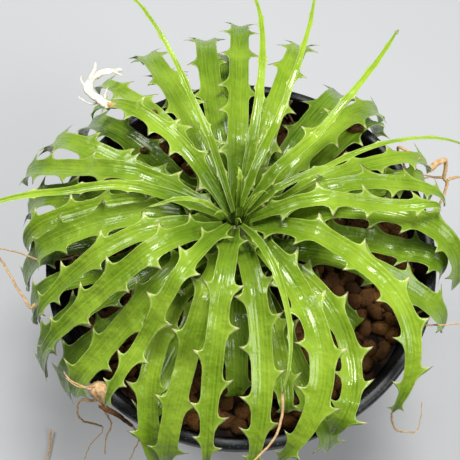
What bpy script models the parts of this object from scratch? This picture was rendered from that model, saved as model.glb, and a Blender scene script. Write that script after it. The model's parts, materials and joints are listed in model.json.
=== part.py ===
"""A potted encholirium: a rosette of spiny leaves on a short stem, in a round nursery pot of granules.

Run it with: blender --background --python part.py
Sizes are in millimetres and become metres when a mesh is made. The pot stands on z = 0 and is
centred on the Z axis; +Y is the plant's back, and leaf headings are degrees anticlockwise from +X.
"""

import math
import random
from collections import namedtuple

import bmesh
import bpy
import numpy as np
from mathutils import Vector, noise

MM = 0.001

# --- pot ---------------------------------------------------------------------------------------
POT_HEIGHT = 100.0
RIM_DIAMETER = 120.0
BASE_DIAMETER = 86.0
POT_WALL = 1.3
LIP_WIDTH = 3.2
LIP_DEPTH = 5.0
POT_SEGMENTS = 56
DRAIN_HOLES = 6
DRAIN_HOLE_DIAMETER = 8.0
DRAIN_CIRCLE_DIAMETER = 58.0

# --- substrate ---------------------------------------------------------------------------------
SOIL_BELOW_RIM = 11.0
SOIL_BUMP = 0.9
SOIL_BUMP_PITCH = 9.0

# --- stem and roots ----------------------------------------------------------------------------
PLANT_X = -1.5
PLANT_Y = 2.0
STEM_FOOT_RADIUS = 8.0
STEM_TIP_RADIUS = 1.0
STEM_ABOVE_RIM = 13.0
STEM_BURIED = 5.0
ROOT_ARMS = 5
ROOT_CIRCLE_RADIUS = 5.0
ROOT_SPREAD = 27.0
ROOT_DEPTH = 62.0
ROOT_RADIUS = 2.4
ROOT_TIP_RADIUS = 0.9

# --- gaps between pieces that touch ------------------------------------------------------------
FIT_GAP = 0.3
LEAF_GAP = 0.35
LIP_CLEARANCE = 1.0

# --- leaves ------------------------------------------------------------------------------------
RING_SPACING = 3.2
TOOTH_GAPS = (3, 4, 4, 5)
TOOTH_HOOK = 0.45
ANTRORSE_FROM = 0.85
TOOTH_SEED = 11
CHANNEL = 0.13
LEAF_THICKNESS = 1.1
TIP_THICKNESS = 0.35
ROLL_SPREAD = 9.0
NECK = 0.5
NECK_LENGTH = 15.0
EASE_RINGS = 2
SAMPLES_ALONG = 13
SAMPLES_ACROSS = 25
CREST_SHARE = 0.82
RISE_SHARE = 0.5
FALL_SHARE = 0.3
HANG_PAST_RIM = 3.0
LAST_TOOTH = 0.95

# One leaf: heading of its base, how far that heading swings by the tip, length seen from above,
# height of its crest and of its tip over the pot's rim, and the width of its blade.
Leaf = namedtuple("Leaf", "heading bend reach crest tip width")

# How a group of leaves is shaped: how far out its crest lies, as a share of its reach, the share of
# its length at which the blade begins to taper, how fast it tapers, the length of its teeth, how
# far its end hangs lower than the tip's height in the list, where it hangs outside the pot, and its
# colour.
Form = namedtuple("Form", "crest_at hold taper tooth hang colour")

OUTER = Form(0.42, 0.76, 2.0, 2.8, 12.0, "leaf_outer")
MIDDLE = Form(0.44, 0.76, 2.0, 3.0, 10.0, "leaf_middle")
INNER = Form(0.46, 0.50, 1.5, 2.8, 5.0, "leaf_inner")
SLENDER = Form(0.55, 0.05, 1.0, 0.6, 0.0, "leaf_young")
HEART = Form(1.00, 0.10, 1.2, 0.5, 0.0, "leaf_young")

# From the oldest leaf, lowest on the stem, to the youngest in the heart.
ROSETTE = [
    (
        OUTER,
        [
            Leaf(-68, 6, 66, 8, -8, 8.2),
            Leaf(0, -30, 64, 8, -6, 8.0),
            Leaf(45, 0, 69, 7, -10, 8.6),
            Leaf(135, 6, 72, 8, -10, 8.8),
            Leaf(-141, 0, 67, 7, -12, 8.2),
            Leaf(-90, 0, 46, 5, -3, 7.6),
            Leaf(-36, 0, 44, 4, -2, 7.0),
            Leaf(58, 0, 74, 7, -12, 8.4),
            Leaf(92, 4, 80, 8, -10, 8.4),
            Leaf(111, 0, 76, 7, -10, 8.6),
            Leaf(163, 8, 72, 7, -10, 8.6),
            Leaf(-164, 0, 67, 6, -12, 8.0),
            Leaf(-115, 0, 60, 6, -6, 7.0),
            Leaf(20, 0, 68, 8, -10, 8.0),
            Leaf(-152, 6, 70, 7, -16, 8.0),
            Leaf(184, 4, 69, 7, -14, 8.2),
        ],
    ),
    (
        MIDDLE,
        [
            Leaf(-126, 57, 72, 15, -3, 7.0),
            Leaf(-70, -20, 55, 12, 0, 5.6),
            Leaf(73, 0, 80, 14, 0, 7.8),
            Leaf(150, -6, 73, 14, -3, 8.2),
            Leaf(-17, -14, 68, 13, -2, 8.6),
            Leaf(100, -8, 80, 14, -1, 8.2),
            Leaf(-38, -92, 72, 15, -2, 6.6),
            Leaf(170, 34, 66, 13, -3, 6.6),
            Leaf(50, -14, 71, 14, -4, 7.8),
            Leaf(-134, -6, 66, 14, -2, 7.8),
            Leaf(13, -72, 74, 14, -2, 8.2),
            Leaf(113, 3, 80, 14, -2, 8.2),
            Leaf(-109, 6, 68, 15, -3, 7.0),
            Leaf(89, 0, 85, 14, 0, 7.4),
            Leaf(-178, 14, 60, 16, 0, 8.6),
            Leaf(28, -10, 70, 15, 0, 5.6),
            Leaf(125, 10, 76, 15, 0, 5.6),
            Leaf(160, -4, 75, 16, -5, 7.0),
        ],
    ),
    (
        INNER,
        [
            Leaf(19, -22, 68, 17, 2, 6.0),
            Leaf(-163, 18, 64, 21, 0, 6.6),
            Leaf(-146, -8, 67, 22, 0, 7.0),
            Leaf(-50, -98, 76, 22, 2, 8.2),
            Leaf(-78, -28, 69, 22, 2, 7.2),
            Leaf(-16, -108, 80, 22, 3, 7.0),
            Leaf(5, -2, 60, 21, 6, 5.2),
            Leaf(128, 26, 66, 21, 3, 5.2),
            Leaf(-99, 6, 68, 23, 4, 6.6),
            Leaf(-123, -8, 63, 24, 5, 5.0),
        ],
    ),
    (
        SLENDER,
        [
            Leaf(170, 34, 84, 26, 14, 5.0),
            Leaf(78, 28, 84, 28, 12, 4.4),
            Leaf(29, -34, 78, 28, 10, 3.0),
            Leaf(44, 26, 86, 30, 14, 4.2),
            Leaf(66, 22, 88, 31, 14, 3.4),
            Leaf(110, 16, 92, 31, 13, 3.0),
            Leaf(-61, -50, 54, 29, 19, 3.4),
            Leaf(176, 20, 27, 25, 20, 2.6),
        ],
    ),
    (
        HEART,
        [
            Leaf(80, 40, 10, 31, 31, 2.8),
            Leaf(20, -40, 9, 30, 30, 2.2),
            Leaf(-150, 30, 8, 29, 29, 2.2),
            Leaf(-90, 40, 7, 30, 30, 2.0),
        ],
    ),
]

# --- colours: base colour, roughness -----------------------------------------------------------
COLOURS = {
    "pot_black": ((0.012, 0.012, 0.014), 0.48),
    "granules_brown": ((0.105, 0.046, 0.020), 0.92),
    "stem_green": ((0.22, 0.30, 0.05), 0.60),
    "root_tan": ((0.36, 0.24, 0.12), 0.85),
    "leaf_outer": ((0.16, 0.31, 0.045), 0.42),
    "leaf_middle": ((0.24, 0.43, 0.045), 0.38),
    "leaf_inner": ((0.30, 0.50, 0.040), 0.35),
    "leaf_young": ((0.33, 0.54, 0.030), 0.35),
}


# --- general tools -----------------------------------------------------------------------------
def clear_scene():
    for thing in list(bpy.data.objects):
        bpy.data.objects.remove(thing, do_unlink=True)


def material(name):
    """The material of that name, with its colour and roughness, made once."""
    found = bpy.data.materials.get(name)
    if found:
        return found
    colour, roughness = COLOURS[name]
    made = bpy.data.materials.new(name)
    made.use_nodes = True
    shader = made.node_tree.nodes["Principled BSDF"]
    shader.inputs["Base Color"].default_value = (*colour, 1.0)
    shader.inputs["Roughness"].default_value = roughness
    shader.inputs["Metallic"].default_value = 0.0
    return made


def new_object(name, bm, colour=None, sharp_deg=40.0):
    """Links a mesh made in millimetres as an object in metres."""
    bmesh.ops.scale(bm, vec=(MM, MM, MM), verts=bm.verts)
    bmesh.ops.recalc_face_normals(bm, faces=bm.faces)
    mesh = bpy.data.meshes.new(name)
    bm.to_mesh(mesh)
    bm.free()
    mesh.shade_smooth()
    mesh.set_sharp_from_angle(angle=math.radians(sharp_deg))
    if colour:
        mesh.materials.append(material(colour))
    thing = bpy.data.objects.new(name, mesh)
    bpy.context.collection.objects.link(thing)
    return thing


def as_cutter(thing):
    thing.hide_render = True
    thing.display_type = "WIRE"
    return thing


def boolean(thing, operation, other):
    modifier = thing.modifiers.new(operation.lower(), "BOOLEAN")
    modifier.operation = operation
    modifier.solver = "EXACT"
    modifier.object = other


def turned(profile, segments, centre=(0.0, 0.0)):
    """A solid of revolution about a vertical axis through centre, from (radius, height) points."""
    bm = bmesh.new()
    verts = [bm.verts.new((radius, 0.0, height)) for radius, height in profile]
    edges = [bm.edges.new(pair) for pair in zip(verts, verts[1:])]
    if profile[0][0] > 0.0:
        edges.append(bm.edges.new((verts[-1], verts[0])))
    bmesh.ops.spin(
        bm,
        geom=verts + edges,
        cent=(0, 0, 0),
        axis=(0, 0, 1),
        angle=2 * math.pi,
        steps=segments,
        use_merge=True,
    )
    bmesh.ops.remove_doubles(bm, verts=bm.verts, dist=1e-4)
    bmesh.ops.translate(bm, vec=(centre[0], centre[1], 0.0), verts=bm.verts)
    return bm


def tube(points, radii, sides=6):
    """A closed tapering tube through points, with a flat cap on each end."""
    bm = bmesh.new()
    rings = []
    for index, point in enumerate(points):
        ahead = points[min(index + 1, len(points) - 1)]
        behind = points[max(index - 1, 0)]
        along = (Vector(ahead) - Vector(behind)).normalized()
        turn = along.to_track_quat("Z", "Y")
        ring = []
        for side in range(sides):
            angle = 2 * math.pi * side / sides
            offset = Vector((math.cos(angle), math.sin(angle), 0.0)) * radii[index]
            ring.append(bm.verts.new(Vector(point) + turn @ offset))
        rings.append(ring)
    for lower, upper in zip(rings, rings[1:]):
        for side in range(sides):
            after = (side + 1) % sides
            bm.faces.new((lower[side], lower[after], upper[after], upper[side]))
    bm.faces.new(rings[0][::-1])
    bm.faces.new(rings[-1])
    return bm


# --- levels that the pieces share --------------------------------------------------------------
SOIL_TOP = POT_HEIGHT - SOIL_BELOW_RIM
STEM_TOP = POT_HEIGHT + STEM_ABOVE_RIM
STEM_FOOT = SOIL_TOP - STEM_BURIED


def wall_slope():
    """How much the pot's outer radius grows for each millimetre of height, below the lip."""
    return (RIM_DIAMETER / 2 - LIP_WIDTH + POT_WALL - BASE_DIAMETER / 2) / POT_HEIGHT


def inner_radius(height):
    return BASE_DIAMETER / 2 + wall_slope() * height - POT_WALL


def stem_radius(height):
    share = min(max((height - SOIL_TOP) / (STEM_TOP - SOIL_TOP), 0.0), 1.0)
    return STEM_TIP_RADIUS + (STEM_FOOT_RADIUS - STEM_TIP_RADIUS) * (1.0 - share) ** 0.8


# --- pot ---------------------------------------------------------------------------------------
def make_pot():
    """A thin tapered cup with a rolled lip and a ring of drain holes in its flat floor."""
    foot = BASE_DIAMETER / 2
    rim = RIM_DIAMETER / 2
    under_lip = POT_HEIGHT - LIP_DEPTH
    outer_at_lip = foot + wall_slope() * under_lip
    profile = [(0.0, POT_WALL), (foot - POT_WALL - 1.0, POT_WALL)]
    profile += [(inner_radius(POT_WALL + 1.0), POT_WALL + 1.0)]
    inner_top = inner_radius(POT_HEIGHT)
    profile += [(inner_radius(POT_HEIGHT - LIP_WIDTH), POT_HEIGHT - LIP_WIDTH)]
    profile += [(inner_top, POT_HEIGHT - 0.8), (inner_top + 0.8, POT_HEIGHT)]
    profile += [(rim - 1.2, POT_HEIGHT), (rim - 0.35, POT_HEIGHT - 0.35), (rim, POT_HEIGHT - 1.2)]
    profile += [(rim, under_lip + 0.4), (rim - 0.4, under_lip), (outer_at_lip, under_lip)]
    profile += [(foot + 0.1, 1.0), (foot - 0.9, 0.0), (0.0, 0.0)]
    pot = new_object("pot", turned(profile, POT_SEGMENTS), "pot_black")
    for number in range(DRAIN_HOLES):
        boolean(pot, "DIFFERENCE", drain_cutter(number))
    return pot


def drain_cutter(number):
    angle = 2 * math.pi * number / DRAIN_HOLES
    centre = (DRAIN_CIRCLE_DIAMETER / 2 * math.cos(angle), DRAIN_CIRCLE_DIAMETER / 2 * math.sin(angle))
    depth = 2 * POT_WALL
    radius = DRAIN_HOLE_DIAMETER / 2
    profile = [(0.0, depth), (radius, depth), (radius, -depth), (0.0, -depth)]
    return as_cutter(new_object(f"drain_cutter_{number + 1}", turned(profile, 16, centre)))


# --- substrate ---------------------------------------------------------------------------------
def make_soil():
    """The body of granules, hollowed where the buried stem and the roots run through it."""
    floor = POT_WALL + FIT_GAP
    edge = inner_radius(SOIL_TOP) - FIT_GAP
    profile = [(0.0, SOIL_TOP)]
    profile += [(edge * step / 7, SOIL_TOP) for step in range(1, 8)]
    profile += [(inner_radius(floor + 2.0) - FIT_GAP, floor + 2.0)]
    profile += [(inner_radius(floor) - 3.0, floor), (0.0, floor)]
    bm = turned(profile, 40)
    for vert in bm.verts:
        if vert.co.z > SOIL_TOP - 0.1 and vert.co.xy.length < edge - 1.0:
            vert.co.z += SOIL_BUMP * noise.noise(vert.co / SOIL_BUMP_PITCH)
    soil = new_object("soil", bm, "granules_brown", 60.0)
    boolean(soil, "DIFFERENCE", stem_hole())
    for number in range(ROOT_ARMS):
        boolean(soil, "DIFFERENCE", as_cutter(root_arm(number, FIT_GAP, "root_hole")))
    return soil


def stem_hole():
    """The bore in the substrate for the buried stem and the crown of the roots."""
    radius = STEM_FOOT_RADIUS + FIT_GAP
    bottom = STEM_FOOT - FIT_GAP - STEM_FOOT_RADIUS - FIT_GAP
    profile = [(0.0, SOIL_TOP + 8.0), (radius, SOIL_TOP + 8.0), (radius, bottom), (0.0, bottom)]
    return as_cutter(new_object("stem_hole", turned(profile, 24, (PLANT_X, PLANT_Y))))


# --- stem and roots ----------------------------------------------------------------------------
def make_stem():
    """The short stem that the leaf bases sit round, from just under the granules to the heart."""
    profile = [(0.0, STEM_TOP)]
    steps = 6
    for step in range(steps + 1):
        height = STEM_TOP - (STEM_TOP - SOIL_TOP) * step / steps
        profile.append((stem_radius(height), height))
    profile += [(STEM_FOOT_RADIUS, STEM_FOOT), (0.0, STEM_FOOT)]
    bm = turned(profile, 18, (PLANT_X, PLANT_Y))
    return new_object("stem", bm, "stem_green")


def root_arm(number, extra, name):
    """One root, swinging down and out from the crown; extra widens it into its own hole."""
    turn = 2 * math.pi * number / ROOT_ARMS + 0.4
    top = STEM_FOOT - FIT_GAP - STEM_FOOT_RADIUS * 0.5
    points = []
    radii = []
    steps = 7
    for step in range(steps + 1):
        share = step / steps
        out = ROOT_CIRCLE_RADIUS + (ROOT_SPREAD - ROOT_CIRCLE_RADIUS) * share
        angle = turn + 0.5 * share * math.sin(4.0 * share + number)
        x = PLANT_X + out * math.cos(angle)
        y = PLANT_Y + out * math.sin(angle)
        points.append((x, y, top - ROOT_DEPTH * share**1.2))
        radii.append(ROOT_RADIUS + (ROOT_TIP_RADIUS - ROOT_RADIUS) * share + extra)
    last = Vector(points[-1])
    ahead = (last - Vector(points[-2])).normalized()
    points[-1] = tuple(last + ahead * extra)
    return new_object(f"{name}_{number + 1}", tube(points, radii), None)


def make_roots():
    """The crown under the stem with its main roots, grown as one piece."""
    top = STEM_FOOT - FIT_GAP
    radius = STEM_FOOT_RADIUS
    profile = [(0.0, top), (radius * 0.9, top), (radius, top - 1.5)]
    profile += [(radius * 0.8, top - radius * 0.75), (0.0, top - radius)]
    crown = turned(profile, 18, (PLANT_X, PLANT_Y))
    roots = new_object("roots", crown, "root_tan")
    for number in range(ROOT_ARMS):
        boolean(roots, "UNION", as_cutter(root_arm(number, 0.0, "root_arm")))
    return roots


# --- leaves ------------------------------------------------------------------------------------
class Ground:
    """The heights already taken, seen from above, that the next leaf has to clear."""

    CELL = 0.4
    HALF = 120.0

    def __init__(self):
        count = int(2 * self.HALF / self.CELL)
        self.height = np.zeros((count, count))
        axis = (np.arange(count) + 0.5) * self.CELL - self.HALF
        radius = np.hypot(axis[:, None], axis[None, :])
        self.height[radius < RIM_DIAMETER / 2] = SOIL_TOP + SOIL_BUMP
        wall = inner_radius(SOIL_TOP + SOIL_BUMP)
        rim = (radius > wall) & (radius < RIM_DIAMETER / 2 + LIP_CLEARANCE)
        self.height[rim] = POT_HEIGHT
        from_stem = np.hypot(axis[:, None] - PLANT_X, axis[None, :] - PLANT_Y)
        stem = from_stem < STEM_TIP_RADIUS + self.CELL
        self.height[stem] = STEM_TOP

    def cells(self, points):
        index = np.floor((points[:, :2] + self.HALF) / self.CELL).astype(int)
        index = np.clip(index, 0, self.height.shape[0] - 1)
        return index[:, 0], index[:, 1]

    def under(self, points):
        """The height taken at each point's cell."""
        return self.height[self.cells(points)]

    def take(self, points):
        np.maximum.at(self.height, self.cells(points), points[:, 2])


def swing(form, share):
    """How far out a point of the blade is, as a share of the reach, and its turn past the crest."""
    if form.crest_at == 1.0:
        return share, 0.0
    crest_share = CREST_SHARE * form.crest_at
    if share <= crest_share:
        return share / CREST_SHARE, 0.0
    turn = math.pi / 2 * (share - crest_share) / (1.0 - crest_share)
    return form.crest_at + (1.0 - form.crest_at) * math.sin(turn), turn


def tip_height(leaf, form):
    """Height of the tip, which hangs lower where the leaf reaches past the rim."""
    hangs = leaf.reach > RIM_DIAMETER / 2 + HANG_PAST_RIM
    return POT_HEIGHT + leaf.tip - (form.hang if hangs else 0.0)


def arch(leaf, form, base, share):
    """Height of the leaf's middle line: up from its base, over the crest and down to the tip."""
    crest = POT_HEIGHT + leaf.crest
    outward, turn = swing(form, share)
    if turn == 0.0:
        return base + (crest - base) * math.sin(math.pi / 2 * outward / form.crest_at)
    return crest - (crest - tip_height(leaf, form)) * (1.0 - math.cos(turn))


def middle_line(leaf, form, base, start, count):
    """Points along the leaf's middle, from the stem to the tip, and the heading at each."""
    fine = 8
    heading = math.radians(leaf.heading)
    place = np.array([PLANT_X + start * math.cos(heading), PLANT_Y + start * math.sin(heading)])
    points = []
    headings = []
    before = 0.0
    for index in range(count * fine + 1):
        share = index / (count * fine)
        outward, _ = swing(form, share)
        heading = math.radians(leaf.heading + leaf.bend * outward**2)
        step = (leaf.reach - start) * (outward - before)
        place = place + step * np.array([math.cos(heading), math.sin(heading)])
        before = outward
        if index % fine == 0:
            points.append((*place, arch(leaf, form, base, share)))
            headings.append(heading)
    return np.array(points), headings


def blade_width(leaf, form, share):
    """Width of the blade without its teeth: narrow where it leaves the stem, tapered at the tip."""
    opening = min(1.0, share * leaf.reach / NECK_LENGTH)
    width = leaf.width * (NECK + (1.0 - NECK) * math.sin(math.pi / 2 * opening))
    if share <= form.hold:
        return width
    left = (share - form.hold) / (1.0 - form.hold)
    return width * max(0.06, 1.0 - left**form.taper)


def leaf_rings(leaf, form, base, start, number):
    """Rings of four points, left edge, groove, right edge and keel, and then the tip's point."""
    crest = POT_HEIGHT + max(leaf.crest, leaf.tip)
    climb = RISE_SHARE * (crest - base) + FALL_SHARE * (crest - tip_height(leaf, form))
    count = max(5, round((leaf.reach - start + climb) / RING_SPACING))
    line, headings = middle_line(leaf, form, base, start, count)
    roll_side = math.sin(2.4 * number)
    rings = []
    left_teeth = tooth_rings(count, 2 * number)
    right_teeth = tooth_rings(count, 2 * number + 1)
    for index in range(count):
        share = index / count
        along = line[min(index + 1, count)] - line[max(index - 1, 0)]
        along = along / np.linalg.norm(along)
        side = np.array([-math.sin(headings[index]), math.cos(headings[index]), 0.0])
        up = np.cross(along, side)
        roll = math.radians(ROLL_SPREAD * roll_side * share)
        across = side * math.cos(roll) + up * math.sin(roll)
        out = up * math.cos(roll) - side * math.sin(roll)
        width = blade_width(leaf, form, share)
        thick = TIP_THICKNESS + (LEAF_THICKNESS - TIP_THICKNESS) * min(1.0, width / 6.0)
        ring = [line[index] + out * width * CHANNEL for _ in range(4)]
        ring[1] = line[index]
        ring[3] = line[index] - out * thick
        for corner, sign, teeth in ((0, 1.0, left_teeth), (2, -1.0, right_teeth)):
            tooth = tooth_length(form, width) if index in teeth else 0.0
            hook = TOOTH_HOOK * tooth * (-1.0 if share < ANTRORSE_FROM else 1.0)
            ring[corner] = ring[corner] + across * sign * (width / 2 + tooth) + along * hook
        rings.append(np.array(ring))
    return rings, line[-1]


def tooth_rings(count, seed):
    """The rings along one margin that carry a tooth: unevenly spaced, none near either end."""
    draw = random.Random(TOOTH_SEED + seed)
    index = draw.choice((2, 3))
    found = set()
    while index < LAST_TOOTH * count:
        found.add(index)
        index += draw.choice(TOOTH_GAPS)
    return found


def tooth_length(form, width):
    """Length of a tooth, shorter where the blade is narrow."""
    return form.tooth * min(1.0, 0.35 + width / 8.0)


def spread(rings, apex, corners):
    """Points closer than a cell over the surface through these corners, and the ring of each."""
    closing = np.repeat(apex[None, :], len(corners), axis=0)
    stack = np.array([ring[list(corners)] for ring in rings] + [closing])
    along = np.linspace(0.0, 1.0, SAMPLES_ALONG)[:, None, None, None]
    across = np.linspace(0.0, 1.0, SAMPLES_ACROSS)[None, :, None, None]
    points = []
    ring_of = []
    for index, (near, far) in enumerate(zip(stack, stack[1:])):
        near_line = near[:-1] + (near[1:] - near[:-1]) * across
        far_line = far[:-1] + (far[1:] - far[:-1]) * across
        patch = (near_line + (far_line - near_line) * along).reshape(-1, 3)
        points.append(patch)
        ring_of.append(np.full(len(patch), index))
    return np.concatenate(points), np.concatenate(ring_of)


def windowed(values, reach, combine):
    """Each value combined with those up to reach places either side of it."""
    padded = np.pad(values, reach, mode="edge")
    return np.array([combine(padded[i : i + 2 * reach + 1]) for i in range(len(values))])


def lifted(rings, apex, ground):
    """The same leaf, raised smoothly where it would touch what lies below it."""
    below, ring_of = spread(rings, apex, (0, 3, 2))
    need = ground.under(below) + LEAF_GAP - below[:, 2]
    count = len(rings) + 1
    lift = np.full(count, -1.0)
    for index in range(count - 1):
        worst = need[ring_of == index].max()
        lift[index] = max(lift[index], worst)
        lift[index + 1] = max(lift[index + 1], worst)
    lift = np.maximum(lift, 0.0)
    widest = windowed(lift, EASE_RINGS, np.max)
    smooth = windowed(widest, EASE_RINGS, np.mean)
    raised = [ring + np.array([0.0, 0.0, smooth[i]]) for i, ring in enumerate(rings)]
    return raised, apex + np.array([0.0, 0.0, smooth[-1]]), smooth


def leaf_mesh(rings, apex):
    bm = bmesh.new()
    corners = [[bm.verts.new(point) for point in ring] for ring in rings]
    tip = bm.verts.new(apex)
    for near, far in zip(corners, corners[1:]):
        for one in range(4):
            other = (one + 1) % 4
            bm.faces.new((near[one], near[other], far[other], far[one]))
    for one in range(4):
        bm.faces.new((corners[-1][one], corners[-1][(one + 1) % 4], tip))
    bm.faces.new(corners[0][::-1])
    bmesh.ops.triangulate(bm, faces=bm.faces)
    return bm


def make_leaves():
    """Every leaf from the oldest to the youngest, each one clear of those under it."""
    ground = Ground()
    leaves = [(form, leaf) for form, group in ROSETTE for leaf in group]
    for number, (form, leaf) in enumerate(leaves):
        age = number / (len(leaves) - 1)
        base = SOIL_TOP + 3.0 + (STEM_TOP - SOIL_TOP - 4.0) * age
        start = stem_radius(base) + FIT_GAP
        rings, apex = leaf_rings(leaf, form, base, start, number)
        rings, apex, lift = lifted(rings, apex, ground)
        above, _ = spread(rings, apex, (0, 1, 2))
        ground.take(above)
        name = f"leaf_{number + 1:02d}"
        new_object(name, leaf_mesh(rings, apex), form.colour, 30.0)
        print(f"{name}: {len(rings)} rings, lifted up to {lift.max():.1f} mm")


def main():
    clear_scene()
    make_pot()
    make_soil()
    make_stem()
    make_roots()
    make_leaves()


main()
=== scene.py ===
# %% [markdown]
# # A potted encholirium
# The plant is a rosette of arching leaves with hooked teeth, rooted in baked-clay granules in a
# black nursery pot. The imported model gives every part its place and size. This lesson builds the
# fine surface of each part on top of it: the turned pot, the granules, the toothed leaves with
# their glossy ridged skin, and the dry tips and fibres. Lengths are in metres. A value in
# millimetres is multiplied by MM.

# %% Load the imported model
import json
import math
import random

import bmesh
import bpy
import numpy as np
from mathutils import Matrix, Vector
from mathutils.noise import noise as mathutils_noise


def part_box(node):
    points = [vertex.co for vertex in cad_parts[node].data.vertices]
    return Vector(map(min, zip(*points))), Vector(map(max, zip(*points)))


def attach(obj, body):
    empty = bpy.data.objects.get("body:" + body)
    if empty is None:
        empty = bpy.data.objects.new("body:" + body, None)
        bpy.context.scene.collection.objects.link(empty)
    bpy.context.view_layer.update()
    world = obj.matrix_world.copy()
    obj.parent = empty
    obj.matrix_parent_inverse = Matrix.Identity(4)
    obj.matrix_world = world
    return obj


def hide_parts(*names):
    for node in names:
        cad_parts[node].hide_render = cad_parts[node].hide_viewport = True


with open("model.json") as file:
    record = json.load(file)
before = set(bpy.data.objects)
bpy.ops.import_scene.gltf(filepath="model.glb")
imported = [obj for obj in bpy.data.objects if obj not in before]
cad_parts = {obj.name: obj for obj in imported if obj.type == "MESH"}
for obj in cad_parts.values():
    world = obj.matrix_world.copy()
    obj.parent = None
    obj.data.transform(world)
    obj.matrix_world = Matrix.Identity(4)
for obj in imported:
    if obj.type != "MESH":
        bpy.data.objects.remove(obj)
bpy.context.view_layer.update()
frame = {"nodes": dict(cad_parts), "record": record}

MM = 0.001
SLOT_OF = {row["node"]: row["material_slot"] for row in frame["record"]["subparts"]}

# %% [markdown]
# ## Camera
# The plant is seen steeply from above, a little to the left of its middle. A long lens from about a
# quarter of a metre keeps the near leaves only slightly larger than the far ones. The camera is
# placed from the middle of the pot's rim, so it would follow the pot if its size changed.

# %% Camera
pot_low, pot_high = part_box("pot")
RIM_CENTRE = Vector(((pot_low.x + pot_high.x) / 2, (pot_low.y + pot_high.y) / 2, pot_high.z))
CAMERA_FROM_RIM = Vector((-3.4, -98.1, 248.5)) * MM
CAMERA_TILT = math.radians(22.9)
SENSOR_WIDTH = 36.0
FOCAL_LENGTH = 68.1
CLIP_START = 10 * MM


def linked(name, data):
    """A new object in the scene, at the origin."""
    thing = bpy.data.objects.new(name, data)
    bpy.context.collection.objects.link(thing)
    return thing


camera = linked("camera", bpy.data.cameras.new("camera"))
camera.data.sensor_width = SENSOR_WIDTH
camera.data.lens = FOCAL_LENGTH
camera.data.clip_start = CLIP_START
camera.location = RIM_CENTRE + CAMERA_FROM_RIM
camera.rotation_euler = (CAMERA_TILT, 0.0, 0.0)
bpy.context.scene.camera = camera
print("camera at", [round(1000 * side) for side in camera.location], "mm")

# %% [markdown]
# ## Writing shader sums
# A material's pattern is a sum of masks. Wrapping a socket in a small class lets the sum be written
# in Python: each operator adds its Math node and gives back the new socket. The same class serves
# the Geometry Nodes trees. Every other node comes from `node`, which sets the node's own settings
# first and then its sockets.


# %% Sockets as numbers
class Socket:
    """A node's output that can stand in a sum, so that 1 - mask adds a Math node."""

    def __init__(self, tree, output):
        self.tree = tree
        self.output = output

    def other(self, name):
        """Another output of the same node."""
        return Socket(self.tree, self.output.node.outputs[name])

    def math(self, operation, *values):
        values = dict(enumerate((self, *values)))
        return self.tree.node("ShaderNodeMath", {"operation": operation}, values)

    def __add__(self, value):
        return self.math("ADD", value)

    def __radd__(self, value):
        return self.math("ADD", value)

    def __sub__(self, value):
        return self.math("SUBTRACT", value)

    def __rsub__(self, value):
        return self.tree.node("ShaderNodeMath", {"operation": "SUBTRACT"}, {0: value, 1: self})

    def __mul__(self, value):
        return self.math("MULTIPLY", value)

    def __rmul__(self, value):
        return self.math("MULTIPLY", value)

    def step(self, low, high):
        """Rises smoothly from 0 at low to 1 at high, or falls where low is the larger."""
        falls = low > high
        bounds = {1: min(low, high), 2: max(low, high), 3: 0.0, 4: 1.0}
        settings = {"interpolation_type": "SMOOTHSTEP"}
        rise = self.tree.node("ShaderNodeMapRange", settings, {0: self, **bounds})
        return 1.0 - rise if falls else rise


class Tree:
    """A node tree, with one method that adds any node."""

    def __init__(self, tree):
        self.tree = tree

    def feed(self, socket, value):
        if isinstance(value, Socket):
            self.tree.links.new(value.output, socket)
        else:
            socket.default_value = value

    def node(self, kind, settings=None, inputs=None, output=0):
        made = self.tree.nodes.new(kind)
        for name, value in (settings or {}).items():
            setattr(made, name, value)
        for name, value in (inputs or {}).items():
            self.feed(made.inputs[name], value)
        return Socket(self, made.outputs[output])


class Finish(Tree):
    """A material round one Principled shader. Constants go on the shader's own sockets."""

    def __init__(self, name, **constants):
        self.material = bpy.data.materials.new(name)
        self.material.use_nodes = True
        super().__init__(self.material.node_tree)
        self.shader = self.tree.nodes["Principled BSDF"]
        for socket, value in constants.items():
            self.shader.inputs[socket.replace("_", " ")].default_value = value

    def set(self, **varying):
        for socket, value in varying.items():
            self.feed(self.shader.inputs[socket.replace("_", " ")], value)

    def place(self):
        """Object coordinates, which are the model's own metres on every piece here."""
        return self.node("ShaderNodeTexCoord", output="Object")

    def attribute(self, name):
        return self.node("ShaderNodeAttribute", {"attribute_name": name}, output="Fac")

    def noise(self, vector, scale, detail=3.0, roughness=0.5):
        values = {"Vector": vector, "Scale": scale, "Detail": detail, "Roughness": roughness}
        return self.node("ShaderNodeTexNoise", inputs=values)

    def mix(self, factor, one, two):
        """A colour between one and two. Colours are three numbers or a socket."""
        values = {"Factor": factor, 6: colour(one), 7: colour(two)}
        return self.node("ShaderNodeMix", {"data_type": "RGBA"}, values, output=2)

    def scaled(self, vector, x, y, z):
        values = {0: vector, 1: (x, y, z)}
        return self.node("ShaderNodeVectorMath", {"operation": "MULTIPLY"}, values)

    def bump(self, height, distance, strength=1.0, normal=None):
        values = {"Strength": strength, "Distance": distance, "Height": height}
        if normal is not None:
            values["Normal"] = normal
        return self.node("ShaderNodeBump", inputs=values)


def colour(value):
    return value if isinstance(value, Socket) else (*value, 1.0)


# %% [markdown]
# ## Floor and light
# A plain pale sheet lies under the pot. Three large soft lights and an even pale sky give broad
# reflections on the leaves, whose gloss is seen only where something bright stands over them.

# %% Floor and light
FLOOR_SIDE = 3.0
FLOOR_TONES = ((0.515, 0.525, 0.53), (0.56, 0.57, 0.57))
SKY = (0.94, 0.97, 1.0)
SKY_STRENGTH = 0.17
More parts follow.
